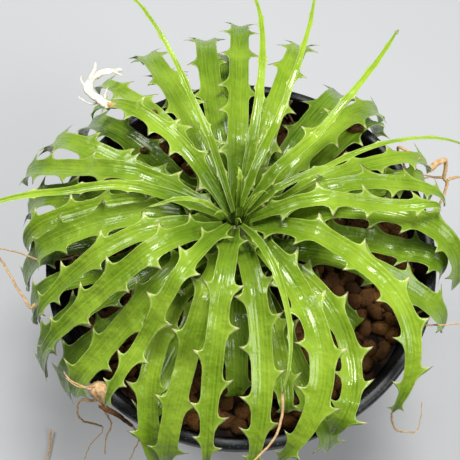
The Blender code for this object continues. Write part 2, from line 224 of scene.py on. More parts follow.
# Name, place in millimetres, side in millimetres, power in watts.
LIGHTS = (
    ("softbox", (70, 200, 740), 190, 3.9),
    ("window", (-420, 240, 520), 220, 1.9),
    ("fill", (430, -200, 520), 300, 1.9),
)


def make_floor():
    half = FLOOR_SIDE / 2
    corners = [(-half, -half, 0.0), (half, -half, 0.0), (half, half, 0.0), (-half, half, 0.0)]
    mesh = bpy.data.meshes.new("floor")
    mesh.from_pydata(corners, [], [(0, 1, 2, 3)])
    floor = linked("floor", mesh)
    sheet = Finish("floor_sheet", Roughness=0.75)
    tone = sheet.noise(sheet.place(), 9.0)
    sheet.set(Base_Color=sheet.mix(tone, *FLOOR_TONES))
    mesh.materials.append(sheet.material)


def make_light(name, place, side, power):
    lamp = bpy.data.lights.new(name, "AREA")
    lamp.shape = "SQUARE"
    lamp.size = side * MM
    lamp.energy = power
    light = linked(name, lamp)
    light.location = Vector(place) * MM
    light.rotation_euler = (RIM_CENTRE - light.location).to_track_quat("-Z", "Y").to_euler()


make_floor()
for light in LIGHTS:
    make_light(*light)
world = bpy.data.worlds.new("sky")
world.use_nodes = True
background = world.node_tree.nodes["Background"]
background.inputs["Color"].default_value = (*SKY, 1.0)
background.inputs["Strength"].default_value = SKY_STRENGTH
bpy.context.scene.world = world
bpy.context.scene.view_settings.view_transform = "Standard"
print("floor and", len(LIGHTS), "lights")

# %% [markdown]
# ## Pieces
# Each finished piece is one object at the origin with its place in its mesh. It rides on the one
# body of the model, and the imported part that it stands for, if any, is hidden.

# %% Making a piece
BODY = "root"
MERGE = 10e-6


def shown(name, mesh, material, node=None):
    """Puts a finished mesh in the scene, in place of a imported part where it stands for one."""
    mesh.materials.clear()
    mesh.materials.append(material)
    piece = linked(name, mesh)
    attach(piece, BODY)
    if node:
        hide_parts(node)
    return piece


def merged(node):
    """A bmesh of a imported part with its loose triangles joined."""
    bm = bmesh.new()
    bm.from_mesh(frame["nodes"][node].data)
    bmesh.ops.remove_doubles(bm, verts=bm.verts, dist=MERGE)
    return bm


def mesh_from(bm, name):
    """A new mesh with the shape of a bmesh, which is freed."""
    mesh = bpy.data.meshes.new(name)
    bm.to_mesh(mesh)
    bm.free()
    return mesh


# %% [markdown]
# ## The pot
# A nursery pot is blown or moulded in thin black plastic: a tapered wall, a flat base with drain
# holes, and a rolled lip. It is a turned shape, so a profile is spun round the axis: outside from
# the base to the lip, over it, and down the inside. Round the lip the profile follows arcs, because
# its highlight shows any corner. The drain holes are cut with a Boolean.

# %% Turned pot
RIM_RADIUS = (pot_high.x - pot_low.x) / 2
POT_HEIGHT = pot_high.z
BASE_RADIUS = 43 * MM
WALL = 1.3 * MM
LIP_WIDTH = 3.2 * MM
LIP_DEPTH = 5 * MM
POT_SEGMENTS = 192
DRAIN_HOLES = 6
DRAIN_RADIUS = 4 * MM
DRAIN_CIRCLE = 29 * MM
DRILL_DEPTH = 6 * MM
DRILL_SIDES = 40
BASE_RING = 8 * MM
FOOT_ROUND = 1.6 * MM
LIP_ROUND = 1.4 * MM
MOUTH_ROUND = 0.8 * MM
UNDERCUT_ROUND = 0.5 * MM
INNER_CORNER = (1.5 * MM, 0.3 * MM)
SHARP_ANGLE = math.radians(40)


def arc(centre, radius, start, end, count=6):
    """Points (radius from the axis, height) on a circle's arc, angles in degrees."""
    points = []
    for angle in np.radians(np.linspace(start, end, count)):
        points.append((centre[0] + radius * math.cos(angle), centre[1] + radius * math.sin(angle)))
    return points


def stitched(bm, first, rings, last):
    """Faces from one point over rings of points to another point."""
    for index in range(len(rings[0])):
        after = (index + 1) % len(rings[0])
        bm.faces.new((first, rings[0][after], rings[0][index]))
        bm.faces.new((last, rings[-1][index], rings[-1][after]))
        for low, high in zip(rings, rings[1:]):
            bm.faces.new((low[index], low[after], high[after], high[index]))


def spun(profile, segments, name):
    """A closed shape turned round the pot's axis. Both ends of the profile lie on the axis."""
    bm = bmesh.new()
    first = bm.verts.new((RIM_CENTRE.x, RIM_CENTRE.y, profile[0][1]))
    last = bm.verts.new((RIM_CENTRE.x, RIM_CENTRE.y, profile[-1][1]))
    rings = []
    for radius, height in profile[1:-1]:
        ring = []
        for index in range(segments):
            angle = math.tau * index / segments
            x = RIM_CENTRE.x + radius * math.cos(angle)
            y = RIM_CENTRE.y + radius * math.sin(angle)
            ring.append(bm.verts.new((x, y, height)))
        rings.append(ring)
    stitched(bm, first, rings, last)
    return mesh_from(bm, name)


def pot_profile():
    wall_top = POT_HEIGHT - LIP_DEPTH
    outer_top = RIM_RADIUS - LIP_WIDTH + WALL
    inner_top = RIM_RADIUS - LIP_WIDTH
    inner_base = BASE_RADIUS - WALL
    foot = BASE_RADIUS - FOOT_ROUND
    points = [(0.0, 0.0), (BASE_RADIUS - BASE_RING, 0.0), (foot, 0.0)]
    points += arc((foot, FOOT_ROUND), FOOT_ROUND, -80, 0)
    for share in np.linspace(0.08, 1.0, 12):
        height = FOOT_ROUND + (wall_top - FOOT_ROUND) * share
        points.append((BASE_RADIUS + (outer_top - BASE_RADIUS) * share, height))
    points += arc((RIM_RADIUS - UNDERCUT_ROUND, wall_top + UNDERCUT_ROUND), UNDERCUT_ROUND, -90, 0, 4)
    points += arc((RIM_RADIUS - LIP_ROUND, POT_HEIGHT - LIP_ROUND), LIP_ROUND, 0, 90)
    points += arc((inner_top + MOUTH_ROUND, POT_HEIGHT - MOUTH_ROUND), MOUTH_ROUND, 100, 180, 5)
    for share in np.linspace(0.9, 0.1, 10):
        points.append((inner_base + (inner_top - inner_base) * share, WALL + (POT_HEIGHT - WALL) * share))
    points.append((inner_base - INNER_CORNER[0], WALL + INNER_CORNER[1]))
    points += [(BASE_RADIUS - BASE_RING, WALL), (0.0, WALL)]
    return points


def with_holes(mesh):
    """Cuts the drain holes in the pot's base."""
    pot = linked("pot_blank", mesh)
    bm = bmesh.new()
    for index in range(DRAIN_HOLES):
        angle = math.tau * index / DRAIN_HOLES
        place = Vector((DRAIN_CIRCLE * math.cos(angle), DRAIN_CIRCLE * math.sin(angle), 0.0))
        made = bmesh.ops.create_cone(bm, cap_ends=True, segments=DRILL_SIDES, radius1=DRAIN_RADIUS,
                                     radius2=DRAIN_RADIUS, depth=DRILL_DEPTH)
        bmesh.ops.translate(bm, verts=made["verts"], vec=place)
    cutter = linked("drain_drill", mesh_from(bm, "drain_drill"))
    cut = pot.modifiers.new("drain", "BOOLEAN")
    cut.operation = "DIFFERENCE"
    cut.object = cutter
    evaluated = pot.evaluated_get(bpy.context.evaluated_depsgraph_get())
    result = bpy.data.meshes.new_from_object(evaluated)
    bpy.data.objects.remove(cutter)
    bpy.data.objects.remove(pot)
    result.shade_smooth()
    result.set_sharp_from_angle(angle=SHARP_ANGLE)
    return result


# %% [markdown]
# The plastic is nearly black, with a soft sheen. Watering has left pale dust on it, which shows as
# fine specks and blots, thickest on the lip. A dusty spot is paler and rougher than the plastic.


# %% Dusty black plastic
PLASTIC = ((0.004, 0.006, 0.007), (0.012, 0.014, 0.015))
DUST = (0.24, 0.25, 0.23)


def black_plastic():
    plastic = Finish("dusty_black_plastic", Specular_IOR_Level=0.3)
    place = plastic.place()
    height = plastic.node("ShaderNodeSeparateXYZ", inputs={0: place}, output="Z")
    near_lip = height.step(POT_HEIGHT - 14 * MM, POT_HEIGHT - 1 * MM)
    specks = plastic.noise(place, 1500.0, 3.0, 0.7).step(0.56, 0.72)
    blots = plastic.noise(place, 260.0, 4.0, 0.65).step(0.50, 0.74)
    dust = (specks * (0.12 + 0.40 * near_lip) + blots * 0.07 * (0.3 + near_lip)).math("MINIMUM", 0.6)
    cloud = plastic.noise(place, 55.0)
    black = plastic.mix(cloud, *PLASTIC)
    moulding = plastic.noise(place, 900.0, 2.0)
    plastic.set(
        Base_Color=plastic.mix(dust, black, DUST),
        Roughness=0.36 + 0.45 * dust + 0.10 * cloud,
        Normal=plastic.bump(moulding + dust, 0.00006, 0.5),
    )
    return plastic.material


pot_mesh = with_holes(spun(pot_profile(), POT_SEGMENTS, "pot_turned"))
pot = shown("pot_turned", pot_mesh, black_plastic(), "pot")
print("pot:", len(pot.data.polygons), "faces")

# %% [markdown]
# ## Granules
# The plant grows in baked clay, broken into rounded grains of about 6 mm. Real ones are tumbled:
# no two are alike, each leans its own way, and the dark gaps between them matter as much as the
# grains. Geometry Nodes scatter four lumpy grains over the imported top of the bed, at random sizes
# and turns, in two layers so that the gaps show grains deeper down. Each grain keeps a random number
# that its colour is read from.

# %% Granule scatter
soil_low, soil_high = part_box("soil")
BED_TOP = soil_high.z
BED_RADIUS = (soil_high.x - soil_low.x) / 2
GRAIN_RADIUS = 3.1 * MM
GRAIN_KINDS = 4
LAYERS = (("granules_lower", -2.6 * MM, 3.6 * MM, 5), ("granules_upper", 0.2 * MM, 3.9 * MM, 21))
MAX_DENSITY = 4.0e5
GRAIN_SHIFT = 0.7 * MM
GRAIN_STRETCH = ((0.82, 0.72, 0.66), (1.18, 1.08, 0.98))
GRAIN_LUMPS = 1.05
STEM_CLEAR = 8.5 * MM
WALL_CLEAR = 0.9 * GRAIN_RADIUS
BED_CUTS = 3
BED_DEPTH = 4 * MM
FACES_UP = 0.2


def new_group(name, sockets, result):
    """A Geometry Nodes group with its sockets, as a tree, and its input node."""
    group = bpy.data.node_groups.new(name, "GeometryNodeTree")
    for socket, kind in sockets:
        group.interface.new_socket(name=socket, in_out="INPUT", socket_type="NodeSocket" + kind)
    group.interface.new_socket(name=result, in_out="OUTPUT", socket_type="NodeSocketGeometry")
    tree = Tree(group)
    return tree, tree.node("NodeGroupInput")


def ended(tree, geometry, finish):
    """Gives the geometry its material, leads it out of the group, and gives back the group."""
    geometry = tree.node("GeometryNodeSetMaterial", inputs={"Geometry": geometry, "Material": finish})
    out = tree.tree.nodes.new("NodeGroupOutput")
    tree.tree.links.new(geometry.output, out.inputs[0])
    return tree.tree


def wander(tree, place, scale, detail, strength):
    """An offset for each point, from noise with its middle value taken off."""
    values = {"Vector": place, "Scale": scale, "Detail": detail}
    noise = tree.node("ShaderNodeTexNoise", inputs=values, output="Color")
    offset = tree.node("ShaderNodeVectorMath", {"operation": "SUBTRACT"}, {0: noise, 1: (0.5, 0.5, 0.5)})
    return tree.node("ShaderNodeVectorMath", {"operation": "SCALE"}, {0: offset, "Scale": strength})


def grain_tree():
    sockets = (("Bed", "Geometry"), ("Grain Radius", "Float"), ("Spacing", "Float"),
               ("Lift", "Float"), ("Seed", "Int"), ("Finish", "Material"))
    tree, given = new_group("granule_scatter", sockets, "Grains")
    spacing = {"Mesh": given, "Distance Min": given.other("Spacing"), "Density Max": MAX_DENSITY,
               "Seed": given.other("Seed")}
    points = tree.node("GeometryNodeDistributePointsOnFaces", {"distribute_method": "POISSON"}, spacing)
    shift = tree.node("FunctionNodeRandomValue", {"data_type": "FLOAT"},
                      {2: -GRAIN_SHIFT, 3: GRAIN_SHIFT, "Seed": 3}, output=1)
    up = tree.node("ShaderNodeCombineXYZ", inputs={"Z": shift + given.other("Lift")})
    points = tree.node("GeometryNodeSetPosition", inputs={"Geometry": points, "Offset": up})
    kinds = tree.tree.nodes.new("GeometryNodeJoinGeometry")
    for number in range(GRAIN_KINDS):
        tree.tree.links.new(grain_kind(tree, number).output, kinds.inputs[0])
    turn = tree.node("FunctionNodeRandomValue", {"data_type": "FLOAT_VECTOR"},
                     {0: (0, 0, 0), 1: (math.tau, math.tau, math.tau), "Seed": 5})
    stretch = tree.node("FunctionNodeRandomValue", {"data_type": "FLOAT_VECTOR"},
                        {0: GRAIN_STRETCH[0], 1: GRAIN_STRETCH[1], "Seed": 7})
    size = tree.node("ShaderNodeVectorMath", {"operation": "SCALE"},
                     {0: stretch, "Scale": given.other("Grain Radius")})
    index = tree.node("FunctionNodeRandomValue", {"data_type": "INT"},
                      {4: 0, 5: GRAIN_KINDS - 1, "Seed": 9}, output=2)
    grains = tree.node("GeometryNodeInstanceOnPoints", inputs={
        "Points": points, "Instance": Socket(tree, kinds.outputs[0]), "Pick Instance": True,
        "Instance Index": index, "Rotation": turn, "Scale": size})
    tint = tree.node("FunctionNodeRandomValue", {"data_type": "FLOAT"},
                     {2: 0.0, 3: 1.0, "Seed": 11}, output=1)
    grains = tree.node("GeometryNodeStoreNamedAttribute", {"data_type": "FLOAT", "domain": "INSTANCE"},
                       {"Geometry": grains, "Name": "tint", "Value": tint})
    grains = tree.node("GeometryNodeRealizeInstances", inputs={"Geometry": grains})
    return ended(tree, grains, given.other("Finish"))


def grain_kind(tree, number):
    """A ball pulled out of round by noise, as one instance."""
    ball = tree.node("GeometryNodeMeshIcoSphere", inputs={"Radius": 1.0, "Subdivisions": 2})
    place = tree.node("GeometryNodeInputPosition")
    moved = {0: place, 1: (9.0 * number, 3.0, 1.0)}
    moved = tree.node("ShaderNodeVectorMath", {"operation": "ADD"}, moved)
    pull = wander(tree, moved, 1.0, 1.0, GRAIN_LUMPS)
    lump = tree.node("GeometryNodeSetPosition", inputs={"Geometry": ball, "Offset": pull})
    smooth = tree.node("GeometryNodeSetShadeSmooth", inputs={"Geometry": lump})
    return tree.node("GeometryNodeGeometryToInstance", inputs={0: smooth})


def converted(source, group, name, values):
    """Runs a node tree on an object and gives back the plain mesh that it makes."""
    modifier = source.modifiers.new("nodes", "NODES")
    modifier.node_group = group
    for item in group.interface.items_tree:
        if item.name in values:
            modifier[item.identifier] = values[item.name]
    evaluated = source.evaluated_get(bpy.context.evaluated_depsgraph_get())
    mesh = bpy.data.meshes.new_from_object(evaluated)
    mesh.name = name
    bpy.data.objects.remove(source)
    return mesh


def bed_top():
    """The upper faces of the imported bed, without the ring by the wall and the stem's place."""
    bm = merged("soil")
    bmesh.ops.subdivide_edges(bm, edges=bm.edges, cuts=BED_CUTS, use_grid_fill=True)
    stem_low, stem_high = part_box("stem")
    middle = (stem_low + stem_high) / 2
    gone = []
    for face in bm.faces:
        centre = face.calc_center_median()
        from_stem = math.hypot(centre.x - middle.x, centre.y - middle.y)
        from_axis = math.hypot(centre.x - RIM_CENTRE.x, centre.y - RIM_CENTRE.y)
        keeps = face.normal.z > FACES_UP and centre.z > BED_TOP - BED_DEPTH
        if not keeps or from_stem < STEM_CLEAR or from_axis > BED_RADIUS - WALL_CLEAR:
            gone.append(face)
    bmesh.ops.delete(bm, geom=gone, context="FACES")
    return linked("bed_top", mesh_from(bm, "bed_top"))


# %% [markdown]
# Baked clay is dull and red-brown where it is dry, and nearly black where it is wet. The colour
# runs over three scales: from grain to grain, over one grain, and in fine pits, which also dent it.
# The pits are darkened with painted shade.


# %% Baked clay
CLAY_GRAINS = ((0.125, 0.050, 0.007), (0.370, 0.150, 0.020))
CLAY_CLOUD = (0.42, 0.190, 0.055)
# Painted shade in the fine pits.
CLAY_PIT_SHADE = (0.018, 0.009, 0.004)
CLAY_WET = (0.040, 0.019, 0.009)


def baked_clay():
    clay = Finish("baked_clay", Specular_IOR_Level=0.4)
    place = clay.place()
    tint = clay.attribute("tint")
    cloud = clay.noise(place, 320.0)
    pits = clay.noise(place, 2200.0, 4.0, 0.7)
    wet = clay.noise(place, 45.0).step(0.62, 0.40)
    grain = clay.mix(tint, *CLAY_GRAINS)
    grain = clay.mix(cloud.step(0.40, 0.75) * 0.65, grain, CLAY_CLOUD)
    # Painted shade: the pits, which are the dents of the bump, are darkened.
    grain = clay.mix(pits.step(0.55, 0.34) * 0.8, grain, CLAY_PIT_SHADE)
    clay.set(
        Base_Color=clay.mix(wet * 0.45, grain, CLAY_WET),
        Roughness=0.78 - 0.34 * wet,
        Normal=clay.bump(pits + 0.8 * cloud, 0.0008, 1.0),
    )
    return clay.material


clay_finish = baked_clay()
scatter = grain_tree()
for name, lift, spacing, seed in LAYERS:
    values = {"Grain Radius": GRAIN_RADIUS, "Spacing": spacing, "Lift": lift, "Seed": seed,
              "Finish": clay_finish}
    mesh = converted(bed_top(), scatter, name, values)
    grains = shown(name, mesh, clay_finish)
    print(name, len(grains.data.polygons), "faces")

# %% [markdown]
# The imported bed itself stays under the grains, and the stem and the roots stay where they are. The
# bed gets a clay much darker than the grains, which is painted shade deep among them, with a pattern of
# cells for the grains that lie against it and painted shade in the gaps between the cells.


# %% Bed, stem and roots
# The bed's tones are far darker than the grains: painted shade deep among them.
BED_SHADED_GRAINS = ((0.020, 0.009, 0.004), (0.075, 0.033, 0.013))
# Painted shade in the gaps between the cells.
BED_GAP_SHADE = (0.006, 0.003, 0.002)


def packed_clay():
    clay = Finish("packed_clay", Specular_IOR_Level=0.3)
    place = clay.place()
    cells = clay.node("ShaderNodeTexVoronoi", inputs={"Vector": place, "Scale": 210.0}, output="Distance")
    fine = clay.noise(place, 1400.0, 4.0, 0.7)
    # Painted shade: the gaps between the cells are darkened, and they are dented too.
    gap_with_shade = cells.step(0.35, 0.62)
    # Painted shade: the bed's clay is much darker than the grains.
    grain = clay.mix(fine, *BED_SHADED_GRAINS)
    clay.set(
        Base_Color=clay.mix(gap_with_shade, grain, BED_GAP_SHADE),
        Roughness=0.70 + 0.2 * fine,
        Normal=clay.bump(fine * 0.3 - gap_with_shade, 0.0009, 0.9),
    )
    return clay.material


def fibrous(name, pale, dark, scale):
    """Woody skin with fibres that run along the height."""
    skin = Finish(name, Specular_IOR_Level=0.3)
    place = skin.place()
    fibres = skin.noise(skin.scaled(place, 1.0, 1.0, 0.15), scale, 4.0, 0.6)
    scars = skin.noise(place, scale * 0.3)
    skin.set(
        Base_Color=skin.mix(fibres.step(0.3, 0.7), dark, pale),
        Roughness=0.55 + 0.3 * scars,
        Normal=skin.bump(fibres + scars, 0.0004, 0.7),
    )
    return skin.material


def refinished(node, material):
    """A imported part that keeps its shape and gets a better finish."""
    mesh = frame["nodes"][node].data
    mesh.materials.clear()
    mesh.materials.append(material)


refinished("soil", packed_clay())
refinished("stem", fibrous("stem_skin", (0.30, 0.36, 0.12), (0.12, 0.10, 0.035), 900.0))
refinished("roots", fibrous("root_skin", (0.46, 0.32, 0.17), (0.16, 0.10, 0.05), 700.0))
print("soil, stem and roots keep their packed shapes")

# %% [markdown]
# ## Reading a packed leaf
# A packed leaf is a row of four-cornered rings, from its foot to one point at its tip: left edge,
# groove, right edge and keel. Walking over the mesh from the tip, edge by edge, meets the rings one
# by one, four points at a time, so no table of places is needed. The two points furthest apart in a
# ring are the edges. Which of the other two is the groove is known at the foot, because a leaf's
# upper side looks up and inwards, and is carried from ring to ring.

# %% Leaf rings
stem_low, stem_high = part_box("stem")
STEM_AXIS = np.array(((stem_low + stem_high) / 2).xy)


def walked(start):
    """The points of a mesh in steps from one point, edge by edge."""
    steps = [[start]]
    seen = {start}
    while steps[-1]:
        further = []
        for vert in steps[-1]:
            for edge in vert.link_edges:
                other = edge.other_vert(vert)
                if other not in seen:
                    seen.add(other)
                    further.append(other)
        steps.append(further)
    return steps[:-1]


def rings_of(node):
    """The rings of a packed leaf from foot to tip, each 4 x 3, and its tip point."""
    bm = merged(node)
    for vert in bm.verts:
        steps = walked(vert)
        if len(steps) > 2 and all(len(step) == 4 for step in steps[1:]):
            rings = [np.array([corner.co[:] for corner in step]) for step in reversed(steps[1:])]
            tip = np.array(vert.co[:])
            bm.free()
            return rings, tip
    raise ValueError(node + " is not a row of rings")


def unit(vectors):
    return vectors / np.linalg.norm(vectors, axis=-1, keepdims=True)


def sorted_rings(rings):
    """The same rings with their corners in order: left edge, groove, right edge, keel."""
    heading = unit(rings[0].mean(axis=0)[:2] - STEM_AXIS)
    upper = np.array([-heading[0], -heading[1], 1.0])
    leftward = np.array([-heading[1], heading[0], 0.0])
    ordered = []
    for ring in rings:
        gaps = np.linalg.norm(ring[:, None] - ring[None, :], axis=2)
        one, two = np.unravel_index(gaps.argmax(), gaps.shape)
        if (ring[one] - ring[two]) @ leftward < 0:
            one, two = two, one
        top, under = [index for index in range(4) if index not in (one, two)]
        if (ring[top] - ring[under]) @ upper < 0:
            top, under = under, top
        leftward = ring[one] - ring[two]
        upper = ring[top] - ring[under]
        ordered.append(ring[[one, top, two, under]])
    return np.array(ordered)


# %% [markdown]
# ## Smoothing a leaf
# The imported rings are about 3 mm apart. A cubic curve through them gives the groove, the widths and
# the thickness at eight stations for each ring. A ring whose edge stands out from the line of its
# neighbours carries a tooth on that side. The blade's own edge runs straight past it, and the
# tooth is kept apart as a place and a length.

# %% Leaf stations
STATIONS = 8
TOOTH_FROM = 0.22 * MM
TIP_WIDTH = 0.10 * MM
TIP_THICKNESS = 0.16 * MM


def smooth(values, places):
    """Values at places between the whole numbers, on a cubic curve through all of them."""
    values = np.asarray(values, dtype=float)
    before = 2 * values[:1] - values[1:2]
    after = 2 * values[-1:] - values[-2:-1]
    padded = np.concatenate([before, values, after])
    whole = np.minimum(places.astype(int), len(values) - 2)
    part = places - whole
    if values.ndim > 1:
        part = part[:, None]
    a, b, c, d = (padded[whole + offset] for offset in range(4))
    slope = (c - a) / 2
    next_slope = (d - b) / 2
    return (b * (1 + 2 * part) * (1 - part) ** 2 + slope * part * (1 - part) ** 2
            + c * part**2 * (3 - 2 * part) + next_slope * part**2 * (part - 1))


def parted(half_widths):
    """The blade's own half-widths, and the tooth that stands out of them at each ring."""
    line = half_widths.copy()
    line[1:-1] = (half_widths[:-2] + half_widths[2:]) / 2
    teeth = half_widths - line
    teeth[[0, -1]] = 0.0
    teeth[teeth < TOOTH_FROM] = 0.0
    body = np.where(teeth > 0, line, half_widths)
    return body, teeth


def blade_of(node):
    """Everything the fine surface of a leaf is made from, at its stations."""
    rings, tip = rings_of(node)
    rings = sorted_rings(rings)
    left, groove, right, keel = (rings[:, corner] for corner in range(4))
    line = np.concatenate([groove, tip[None]])
    along = unit(np.gradient(line, axis=0))[:-1]
    across = left - right
    across = unit(across - (across * along).sum(axis=1, keepdims=True) * along)
    out = np.cross(along, across)
    out *= np.sign((out * (groove - keel)).sum(axis=1).mean())
    left_body, left_teeth = parted(((left - groove) * across).sum(axis=1))
    right_body, right_teeth = parted(((groove - right) * across).sum(axis=1))
    count = len(rings)
    places = np.linspace(0.0, count, count * STATIONS + 1)
    thick = np.append(np.linalg.norm(groove - keel, axis=1), TIP_THICKNESS)
    return {
        "places": places,
        "line": smooth(line, places),
        "along": unit(smooth(np.concatenate([along, along[-1:]]), places)),
        "across": unit(smooth(np.concatenate([across, across[-1:]]), places)),
        "out": unit(smooth(np.concatenate([out, out[-1:]]), places)),
        "left": smooth(np.append(left_body, TIP_WIDTH), places),
        "right": smooth(np.append(right_body, TIP_WIDTH), places),
        "thick": smooth(thick, places),
        "left_teeth": np.append(left_teeth, 0.0),
        "right_teeth": np.append(right_teeth, 0.0),
        "share": places / count,
    }


# %% [markdown]
# ## Teeth
# A tooth is a slender spine on a broad hollow flare. Over most of the leaf it hooks back to the
# heart, each by its own amount, and on the last stretch it points forward. The margin is moved out
# by the tooth's height at each station and pushed along the leaf where the tooth leans. Between
# teeth the blade draws in a little, so the margin sweeps in hollow curves from tooth to tooth.

# %% Tooth outline
FLARE_REACH = 1.25
SPINE_REACH = 0.40
SPINE_SHARE = 0.48
HOOK = 0.55
FORWARD_FROM = 0.85
WAIST = 0.17
FLARE_CURVE = 2.2
SPINE_CURVE = 1.25
LEAN_CURVE = 1.5
LENGTH_SPREAD = (0.85, 1.20)
LEAN_SPREAD = (0.35, 1.25)


def tooth_outline(blade, side, draw):
    """Height, lean and nearness to the tooth's point (0 to 1) at every station of a margin."""
    places = blade["places"]
    height = np.zeros(len(places))
    lean = np.zeros(len(places))
    point = np.zeros(len(places))
    count = places[-1]
    teeth = blade[side + "_teeth"]
    for ring in np.flatnonzero(teeth):
        waist = WAIST * blade[side][ring * STATIONS]
        length = waist + teeth[ring] * draw.uniform(*LENGTH_SPREAD)
        back = -1.0 if ring < FORWARD_FROM * count else 1.0
        offset = np.abs(places - ring)
        flare = np.clip(1.0 - offset / FLARE_REACH, 0.0, 1.0) ** FLARE_CURVE
        spine = np.clip(1.0 - offset / SPINE_REACH, 0.0, 1.0) ** SPINE_CURVE
        shape = (1.0 - SPINE_SHARE) * flare + SPINE_SHARE * spine
        stronger = shape * length > height
        height = np.where(stronger, shape * length, height)
        leans = back * draw.uniform(*LEAN_SPREAD) * HOOK * length * shape**LEAN_CURVE
        lean = np.where(stronger, leans, lean)
        point = np.where(stronger, spine, point)
    return height, lean, point


# %% [markdown]
# ## The blade's skin
# Each station is a loop of points: over the upper side from one margin to the other, and back under
# the leaf. The upper side is a shallow channel, the underside is rounded, and they meet in a thin
# margin. Stored on each point are the numbers that the material reads: how far it lies from the
# margin, how near it is to a tooth's point, and how far along the leaf it is. The UV map holds
# millimetres across and along, for ridges that follow the blade.

# %% Blade surface
HALF_UPPER = (0.11, 0.22, 0.33, 0.44, 0.55, 0.66, 0.76, 0.86, 0.94, 1.0)
UPPER = tuple(-u for u in reversed(HALF_UPPER)) + (0.0,) + HALF_UPPER
UNDER = (0.94, 0.8, 0.55, 0.28, 0.0, -0.28, -0.55, -0.8, -0.94)
FOLLOWS_TOOTH = {1.0: 1.0, 0.94: 0.5, 0.86: 0.2, 0.8: 0.14, 0.76: 0.08}
RIB = 0.075 * MM
RIB_PITCH = 1.15 * MM
CHANNEL_CURVE = 1.6
UNDER_CURVE = 2.2
RIB_DRIFT = 0.35
TOOTH_LIFT = 0.12


def blade_points(blade, channel, draw):
    """Every line of points along the leaf: places, margin distance, tooth nearness and UV across."""
    outlines = {side: tooth_outline(blade, side, draw) for side in ("left", "right")}
    rib_turn = draw.uniform(0.0, math.tau)
    drift = np.sin(blade["places"] * RIB_DRIFT + rib_turn)
    loops = []
    for share, under in [(u, False) for u in UPPER] + [(u, True) for u in UNDER]:
        side = "left" if share >= 0 else "right"
        half = blade[side] * (1.0 - WAIST)
        height, lean, point = outlines[side]
        follows = FOLLOWS_TOOTH.get(abs(share), 0.0)
        sideways = math.copysign(1.0, share) * (abs(share) * half + follows * height)
        lifted = channel * (blade["left"] + blade["right"]) * abs(share) ** CHANNEL_CURVE
        lifted = lifted + TOOTH_LIFT * follows * height
        rib = np.cos(math.tau * share * half / RIB_PITCH + rib_turn + drift) * (1.0 - share**4)
        lifted = lifted + RIB * rib * np.minimum(1.0, half / RIB_PITCH)
        if under:
            lifted = lifted - blade["thick"] * (1.0 - abs(share) ** UNDER_CURVE)
        place = (blade["line"] + blade["across"] * sideways[:, None] + blade["out"] * lifted[:, None]
                 + blade["along"] * (follows * lean)[:, None])
        margin = (1.0 - abs(share)) * half / MM
        loops.append((place, margin, follows * point, share * half / MM))
    return loops


def blade_mesh(name, blade, channel, age, draw):
    loops = blade_points(blade, channel, draw)
    tone = draw.random()
    places = np.array([loop[0] for loop in loops]).transpose(1, 0, 2)[:-1]
    count, around = places.shape[:2]
    tip = blade["line"][-1]
    points = np.concatenate([places.reshape(-1, 3), tip[None]])
    faces = []
    for row in range(count - 1):
        for column in range(around):
            after = (column + 1) % around
            here = row * around
            there = here + around
            faces.append((here + column, there + column, there + after, here + after))
    last = (count - 1) * around
    for column in range(around):
        faces.append((last + column, len(points) - 1, last + (column + 1) % around))
    faces.append(tuple(range(around)))
    mesh = bpy.data.meshes.new(name)
    mesh.from_pydata(points.tolist(), [], faces)
    steps = np.linalg.norm(np.diff(blade["line"], axis=0), axis=1)
    run = np.concatenate([[0.0], np.cumsum(steps)]) / MM
    numbers = {
        "margin": np.array([loop[1] for loop in loops]).T[:-1].ravel(),
        "tooth": np.array([loop[2] for loop in loops]).T[:-1].ravel(),
        "share": np.repeat(blade["share"][:-1], around),
    }
    ends = {"margin": 0.0, "tooth": 0.0, "share": 1.0}
    for key, values in numbers.items():
        layer = mesh.attributes.new(key, "FLOAT", "POINT")
        layer.data.foreach_set("value", np.append(values, ends[key]))
    for key, value in (("age", age), ("tone", tone)):
        layer = mesh.attributes.new(key, "FLOAT", "POINT")
        layer.data.foreach_set("value", np.full(len(points), value))
    sideways = np.append(np.array([loop[3] for loop in loops]).T[:-1].ravel(), 0.0)
    lengthways = np.append(np.repeat(run[:-1], around), run[-1])
    corners = np.zeros(len(mesh.loops), dtype=np.int32)
    mesh.loops.foreach_get("vertex_index", corners)
    uv = np.stack([sideways[corners], lengthways[corners]], axis=1)
    mesh.uv_layers.new(name="blade").data.foreach_set("uv", uv.ravel())
    outward(mesh)
    mesh.shade_smooth()
    return mesh


def outward(mesh):
    """Turns the faces of a closed mesh outwards."""
    bm = bmesh.new()
    bm.from_mesh(mesh)
    bmesh.ops.recalc_face_normals(bm, faces=bm.faces)
    bm.to_mesh(mesh)
    bm.free()


# %% [markdown]
# ## Leaf skin
# The living skin is a clear yellow green, deeper on old leaves. It is darkened with painted shade in
# the heart, and a little with painted shade towards the drooping tips. It is glossy, with fine ridges
# along the blade that break a reflection into threads. A cream line runs along the margin, and each
# tooth goes from cream to a tan-orange point.


# %% Leaf skin
OLD_GREENS = ((0.060, 0.145, 0.004), (0.150, 0.280, 0.012))
FRESH_GREENS = ((0.180, 0.320, 0.008), (0.330, 0.500, 0.035))
STREAK_GREEN = (0.400, 0.540, 0.045)
# Painted shade for the heart of the rosette.
HEART_SHADE_GREEN = (0.055, 0.125, 0.001)
# Painted shade for the drooping tips.
TIP_SHADE_GREEN = (0.135, 0.255, 0.018)
MARGIN_CREAM = (0.48, 0.62, 0.14)
TOOTH_CREAM = (0.80, 0.76, 0.42)
TOOTH_TAN = (0.66, 0.38, 0.14)


